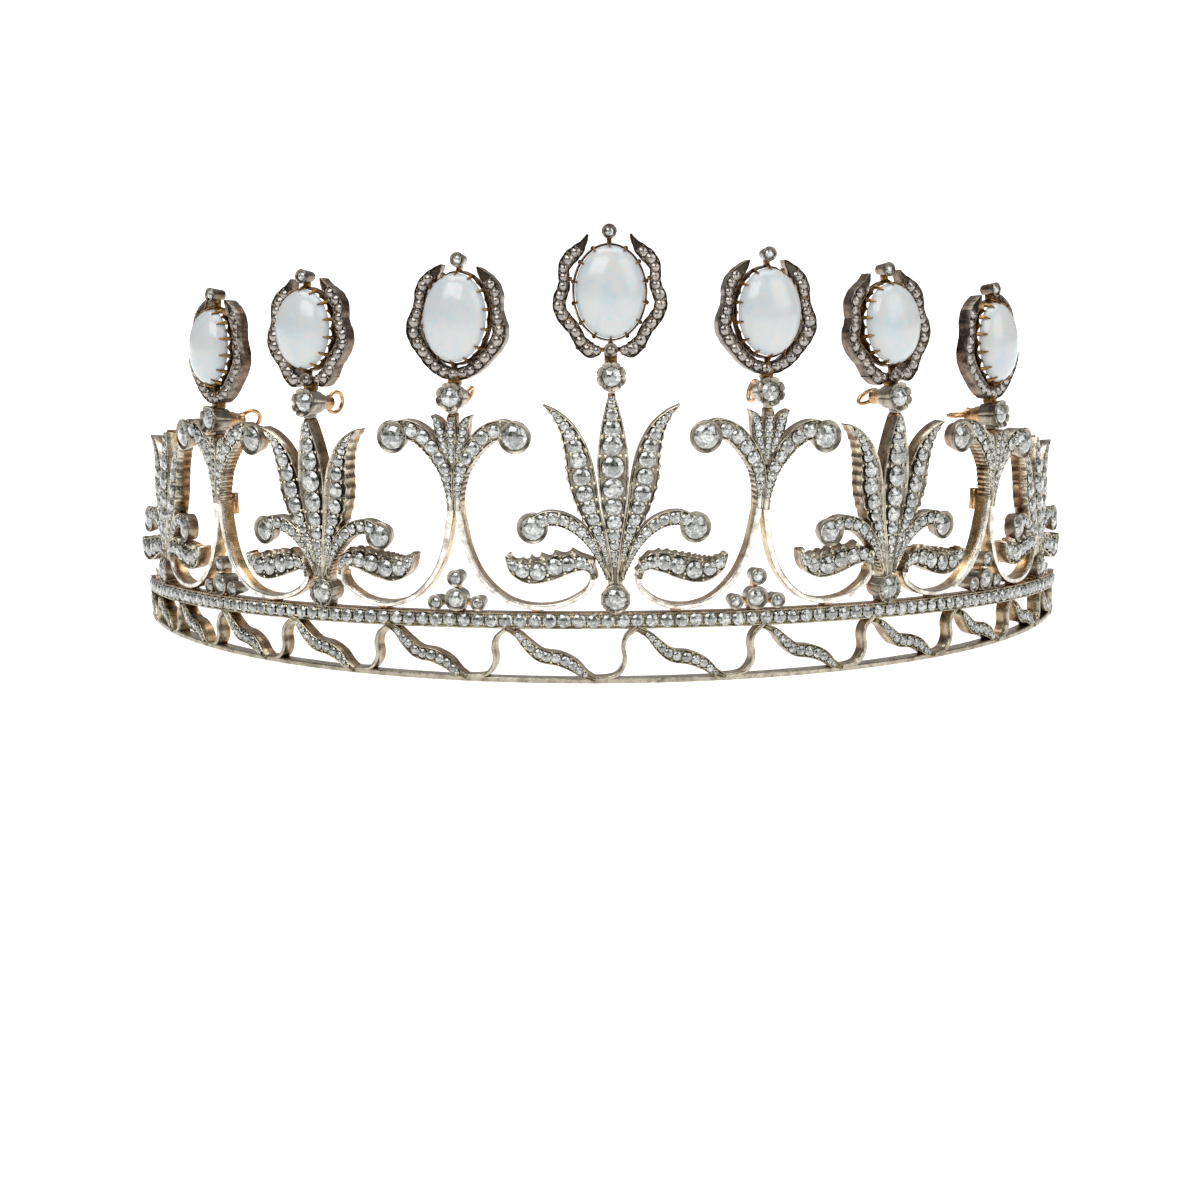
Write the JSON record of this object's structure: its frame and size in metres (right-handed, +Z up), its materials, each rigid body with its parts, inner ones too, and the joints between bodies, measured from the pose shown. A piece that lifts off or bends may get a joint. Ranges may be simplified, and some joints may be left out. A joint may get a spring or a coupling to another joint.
{
  "type": "opal tiara",
  "caption": "Open tiara with a pierced scrolling gallery, leaf palmettes and scrolls, and opal cabochons in garland frames screwed on above it.",
  "frame": {"origin": "on the surface the tiara stands on, under the middle of the lower rail at the front", "axes": "+X to the right in the picture, -Y forward, +Z up"},
  "size_m": [0.1481, 0.0626, 0.0645],
  "materials": {
    "silver": "old silver, lightly tarnished",
    "dark_silver": "oxidised silver",
    "gold": "satin gold",
    "opal": "polished milky opal",
    "diamond": "cut diamond"
  },
  "bodies": {
    "root": {"gallery": "silver", "palmette_1": "silver", "palmette_2": "silver", "palmette_3": "silver", "palmette_4": "silver", "palmette_5": "silver", "scroll_pair_1": "silver", "scroll_pair_2": "silver", "scroll_pair_3": "silver", "scroll_pair_4": "silver", "trefoil_1": "silver", "trefoil_2": "silver", "trefoil_3": "silver", "trefoil_4": "silver", "opal_mount_1": "dark_silver", "opal_mount_2": "dark_silver", "opal_mount_3": "dark_silver", "opal_mount_4": "dark_silver", "opal_mount_5": "dark_silver", "opal_mount_6": "dark_silver", "opal_mount_7": "dark_silver", "opal_1": "opal", "opal_2": "opal", "opal_3": "opal", "opal_4": "opal", "opal_5": "opal", "opal_6": "opal", "opal_7": "opal", "collet_stone_1": "diamond", "collet_stone_2": "diamond", "collet_stone_3": "diamond", "collet_stone_4": "diamond", "collet_stone_5": "diamond", "collet_stone_6": "diamond", "collet_stone_7": "diamond", "base_stone_1": "diamond", "base_stone_2": "diamond", "base_stone_3": "diamond", "base_stone_4": "diamond", "base_stone_5": "diamond", "rail_stones": "diamond", "palmette_stones": "diamond", "scroll_stones": "diamond", "trefoil_stones": "diamond", "head_stones": "diamond", "thumbscrew_1": "gold", "thumbscrew_2": "gold", "thumbscrew_3": "gold", "thumbscrew_4": "gold", "thumbscrew_5": "gold", "thumbscrew_6": "gold", "thumbscrew_7": "gold"}
  },
  "joints": []
}
